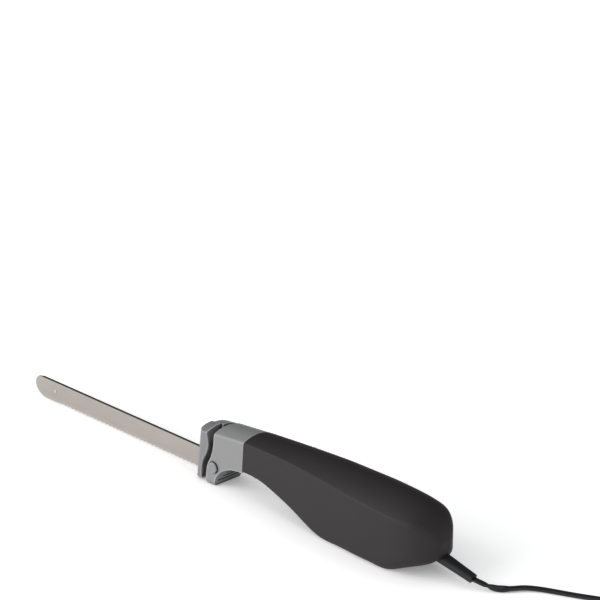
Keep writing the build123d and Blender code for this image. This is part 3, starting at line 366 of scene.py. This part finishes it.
def placeCamera():
    facts = cameraFacts
    az, el = radians(facts["azimuth"]), radians(facts["elevation"])
    back = Vector((sin(az) * cos(el), -cos(az) * cos(el), sin(el)))
    right = Vector((cos(az), sin(az), 0))
    up = back.cross(right)
    across, down = ((pixel - facts["frame"] / 2) / facts["focal"] * facts["distance"]
                    for pixel in facts["pixel"])
    spot = facts["point"] + back * facts["distance"] - right * across + up * down
    data = bpy.data.cameras.new("camera")
    data.sensor_width = facts["sensor"]
    data.lens = facts["sensor"] * facts["focal"] / facts["frame"]
    data.clip_start, data.clip_end = facts["clip"]
    camera = placed(bpy.data.objects.new("camera", data))
    camera.matrix_world = Matrix.Translation(spot) @ Matrix((right, up, back)).transposed().to_4x4()
    bpy.context.scene.camera = camera


placeCamera()
print("camera placed")


# Cord: flat twin lead, from the sleeve over the floor into its coil; lengths in mm, turns in degrees

cordFacts = {
    "width": 5.2, "thick": 2.8, "web": 0.9, "sideSteps": 14, "smoothness": 6,
    "route": [(267.3, 5.05, 7.3), (275.3, 8.2, 4.6), (283.5, 12.3, 2.7), (290.0, 20.5, 2.3),
              (296.0, 29.5, 2.4), (305.0, 36.8, 1.8), (318.0, 43.2, 1.5), (333.0, 50.0, 1.5),
              (349.0, 58.6, 1.5), (366.0, 66.4, 1.8), (378.0, 73.2, 2.4)],
    "rolls": [(0, 0), (8, 0), (17, 90), (30, 180), (2000, 180)],  # how far along, and how far turned over
    "coilRadius": 41.0, "coilPitch": 5.75, "coilTurns": 4, "coilJoin": (388.0, 78.3), "coilHeading": 27.0,
    "halfTurnPoints": 9, "lowLayer": 2.45, "layerStep": 2.95,
    "plugLead": 24.0, "plugHeight": 9.35, "plugRise": [(0.35, 0.25), (0.65, 0.8), (1.0, 1.0)],
}


def coilFrame():
    facts = cordFacts
    heading = radians(facts["coilHeading"])
    forward = Vector((cos(heading), sin(heading), 0))
    inward = Vector((forward.y, -forward.x, 0))
    join = Vector((*facts["coilJoin"], facts["lowLayer"]))
    return join, forward, inward, join + inward * facts["coilRadius"]


def coilStations():  # a place and heading at each half turn: inwards below, outwards on top
    facts = cordFacts
    join, forward, inward, centre = coilFrame()
    stations = [(join, forward)]
    halves, radius, sign = 2 * facts["coilTurns"], facts["coilRadius"], -1
    for number in range(2 * halves + 1):
        if number <= halves:
            radius -= facts["coilPitch"] / 2
        else:
            radius += facts["coilPitch"] / (1 if number == halves + 1 else 2)
        sign = -sign
        rise = facts["layerStep"] if number >= halves else 0
        stations.append((centre + inward * (sign * radius) + Vector((0, 0, rise)), forward * -sign))
    return stations


def cordRoute():
    facts = cordFacts
    points = [Vector(point) for point in facts["route"]]
    stations = coilStations()
    count = facts["halfTurnPoints"]
    for (start, heading), following in zip(stations, stations[1:]):
        end = following[0]
        middle = (start + end) / 2
        reach = (end - start).length / 2
        for step in range(count):
            turn = pi * step / count
            spot = middle + (start - middle) * cos(turn) + heading * (reach * sin(turn))
            spot.z = start.z + (end.z - start.z) * step / count
            points.append(spot)
    end, heading = stations[-1]
    points.append(end)
    for part, rise in facts["plugRise"]:
        spot = end + heading * (facts["plugLead"] * part)
        spot.z = end.z + (facts["plugHeight"] - end.z) * rise
        points.append(spot)
    return points


def smoothLine(points):
    data = bpy.data.curves.new("route", "CURVE")
    data.dimensions = "3D"
    data.resolution_u = cordFacts["smoothness"]
    spline = data.splines.new("NURBS")
    spline.points.add(len(points) - 1)
    for slot, point in zip(spline.points, points):
        slot.co = (*(point * mm), 1)
    spline.order_u = 3
    spline.use_endpoint_u = True
    holder = placed(bpy.data.objects.new("route", data))
    bpy.context.view_layer.update()
    mesh = bpy.data.meshes.new_from_object(holder)
    line = [vertex.co.copy() for vertex in mesh.vertices]
    bpy.data.meshes.remove(mesh)
    bpy.data.objects.remove(holder)
    bpy.data.curves.remove(data)
    return line


def twinProfile():  # two round cores and the thin web between them
    facts = cordFacts
    radius = facts["thick"] / 2
    offset = facts["width"] / 2 - radius
    upper = []
    for step in range(facts["sideSteps"] + 1):
        x = -cos(pi * step / facts["sideSteps"]) * (offset + radius)
        y = sqrt(max(0.0, radius**2 - (abs(x) - offset)**2))
        upper.append((x, max(y, facts["web"]) if abs(x) < offset else y))
    lower = [(x, -y) for x, y in reversed(upper[1:-1])]
    return [Vector(spot) * mm for spot in upper + lower]


def rollAt(distance):
    stops = cordFacts["rolls"]
    for (near, first), (far, second) in zip(stops, stops[1:]):
        if distance <= far * mm:
            part = (distance - near * mm) / ((far - near) * mm)
            part = part * part * (3 - 2 * part)
            return radians(first + (second - first) * part)
    return radians(stops[-1][1])


def ringPiece(name, rings, finish, capped):
    work = bmesh.new()
    loops = [[work.verts.new(spot) for spot in ring] for ring in rings]
    for loop, following in zip(loops, loops[1:]):
        for corner in range(len(loop)):
            after = (corner + 1) % len(loop)
            work.faces.new((loop[corner], loop[after], following[after], following[corner]))
    if capped:
        work.faces.new(list(reversed(loops[0])))
        work.faces.new(loops[-1])
    bmesh.ops.recalc_face_normals(work, faces=work.faces)
    mesh = bpy.data.meshes.new(name)
    work.to_mesh(mesh)
    work.free()
    for face in mesh.polygons:
        face.use_smooth = True
    mesh.materials.append(finish)
    return placed(bpy.data.objects.new(name, mesh))


def cordPiece(name, line, finish):
    profile = twinProfile()
    rings, distance = [], 0.0
    for number, point in enumerate(line):
        before, after = line[max(0, number - 1)], line[min(len(line) - 1, number + 1)]
        tangent = (after - before).normalized()
        side = tangent.cross(Vector((0, 0, 1))).normalized()
        top = side.cross(tangent)
        if number:
            distance += (point - line[number - 1]).length
        turn = rollAt(distance)
        across, over = side * cos(turn) + top * sin(turn), top * cos(turn) - side * sin(turn)
        rings.append([point + across * spot.x + over * spot.y for spot in profile])
    return ringPiece(name, rings, finish, True)


tieFacts = {"halfWidth": 4.5, "corner": 1.4, "cornerSteps": 4, "rim": 0.3, "swell": 0.12, "paper": 0.55,
            "inside": 0.5, "outside": 0.4, "overTurns": 0.35}


def tiePiece(name, finish):
    facts, lay = tieFacts, cordFacts
    forward, inward, centre = coilFrame()[1:]
    turns = (lay["coilTurns"] + 0.5) * lay["coilPitch"]
    reach, flat = lay["width"] / 2, lay["thick"] / 2 + facts["overTurns"]
    inner = lay["coilRadius"] - turns - reach - facts["inside"]
    outer = lay["coilRadius"] + reach + facts["outside"]
    low = lay["lowLayer"] - flat
    high = lay["lowLayer"] + lay["layerStep"] + flat
    bend = facts["corner"]
    outline = []
    for far, tall, first in ((outer, high, 0), (inner, high, 90), (inner, low, 180), (outer, low, 270)):
        farBend = far + (-bend if far == outer else bend)
        tallBend = tall + (-bend if tall == high else bend)
        for step in range(facts["cornerSteps"] + 1):
            angle = radians(first + 90 / facts["cornerSteps"] * step)
            outline.append((farBend + bend * cos(angle), tallBend + bend * sin(angle)))
    middle = centre - forward * (inner + outer) / 2
    middle.z = (low + high) / 2
    half, rings = facts["halfWidth"], []
    for across in (-half, -half + facts["rim"], half - facts["rim"], half):
        ring = []
        for far, tall in outline:
            spot = centre - forward * far + inward * across
            spot.z = tall
            swell = 0.0 if abs(across) == half else facts["swell"]
            ring.append((spot + (spot - middle).normalized() * swell) * mm)
        rings.append(ring)
    obj = ringPiece(name, rings, finish, False)
    thickness = obj.modifiers.new("thickness", "SOLIDIFY")
    thickness.thickness, thickness.offset = facts["paper"] * mm, 0
    return obj


cordLine = smoothLine(cordRoute())
cord = cordPiece("flatCord", cordLine, finishes["cordVinyl"])
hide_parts("power_cord", "cord_coil")
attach(cord, "housing")
tie = tiePiece("coilTie", finishes["paper"])
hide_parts("cord_tie")
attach(tie, "housing")


# Floor and light, in metres

roomFacts = {"floor": (0.80, 0.795, 0.79), "rough": 0.8, "specular": 0.1, "reach": 6.0,
             "cloud": 3, "cloudShades": (0.99, 1.01),
             "unlit": (0.0, 0.0, 0.0), "lit": (1.0, 1.0, 1.0), "nearGlow": 0.60, "farGlow": 0.78,
             "glowStart": 0.25, "glowSoft": 0.9, "contactReach": 0.05, "contactShade": 0.75,
             "world": (0.93, 0.96, 1.0), "worldStrength": 0.30,
             "darkSide": 0.88, "darkHeight": 26.0, "darkEdge": (0.45, 0.95)}


def floorPiece():
    facts = roomFacts
    r = material("floorPaint")
    cloud = r.noise(facts["cloud"])
    ray = r.node("ShaderNodeLightPath", {}, {})  # the clipped white of a product shot, also in the steel
    seen = (ray.out("Is Camera Ray") + ray.out("Is Glossy Ray") + ray.out("Is Transmission Ray")).clamped()
    away = r.node("ShaderNodeVectorMath", {"operation": "LENGTH"}, {0: r.place}).out("Value")
    far = away.above(facts["glowStart"], facts["glowSoft"])
    glow = facts["nearGlow"] + far * (facts["farGlow"] - facts["nearGlow"])
    glow = glow * (1 - r.hollow(facts["contactReach"]) * facts["contactShade"])  # painted contact shadow: less glow close to the knife
    paint = r.set(color=r.shades(cloud, facts["floor"], facts["cloudShades"]),
                  rough=facts["rough"], specular=facts["specular"], glowStrength=1.0,
                  glow=r.mix(seen * glow, facts["unlit"], facts["lit"]))
    mesh = bpy.data.meshes.new("floor")
    reach = facts["reach"]
    corners = [(-reach, -reach, 0), (reach, -reach, 0), (reach, reach, 0), (-reach, reach, 0)]
    mesh.from_pydata(corners, [], [(0, 1, 2, 3)])
    mesh.materials.append(paint)
    placed(bpy.data.objects.new("floor", mesh))


lampFacts = {
    "keyLamp": {"place": (-1.0, -1.75, 0.85), "target": (0.02, 0, 0.03), "size": 2.4, "power": 52,
                "color": (1.0, 0.995, 0.985)},
    "fillLamp": {"place": (2.2, -0.35, 0.75), "target": (0.2, 0, 0.03), "size": 0.7, "power": 11,
                 "color": (0.98, 0.99, 1.0)},
    "topLamp": {"place": (-0.4, 0.2, 2.0), "target": (0.05, 0, 0.03), "size": 1.6, "power": 3,
                "color": (0.96, 0.98, 1.0)},
}


def lamp(name, place, target, size, power, color):
    data = bpy.data.lights.new(name, "AREA")
    data.shape, data.size, data.energy, data.color = "DISK", size, power, color
    obj = placed(bpy.data.objects.new(name, data))
    obj.location = place
    obj.rotation_euler = (Vector(target) - Vector(place)).to_track_quat("-Z", "Y").to_euler()


def roomWorld():  # bright all round but for a dark side behind the knife
    facts = roomFacts
    r = Recipe(bpy.data.worlds.new("room"), "Background", "Generated")
    az, el = radians(cameraFacts["azimuth"]), radians(facts["darkHeight"])
    behind = (-sin(az) * cos(el), cos(az) * cos(el), sin(el))
    near, far = facts["darkEdge"]
    light = r.node("ShaderNodeMapRange", {"interpolation_type": "SMOOTHSTEP"},
                   {"Value": r.dot(r.place, behind), "From Min": near, "From Max": far,
                    "To Min": facts["worldStrength"],
                    "To Max": facts["worldStrength"] * (1 - facts["darkSide"])}).out("Result")
    seen = r.node("ShaderNodeLightPath", {}, {}).out("Is Camera Ray")  # white past the floor's edge
    bpy.context.scene.world = r.set(skyColor=facts["world"], skyStrength=light + seen * (1 - light))


floorPiece()
for name, facts in lampFacts.items():
    lamp(name, **facts)
roomWorld()
bpy.context.scene.view_settings.view_transform = "Standard"
print("room lit")
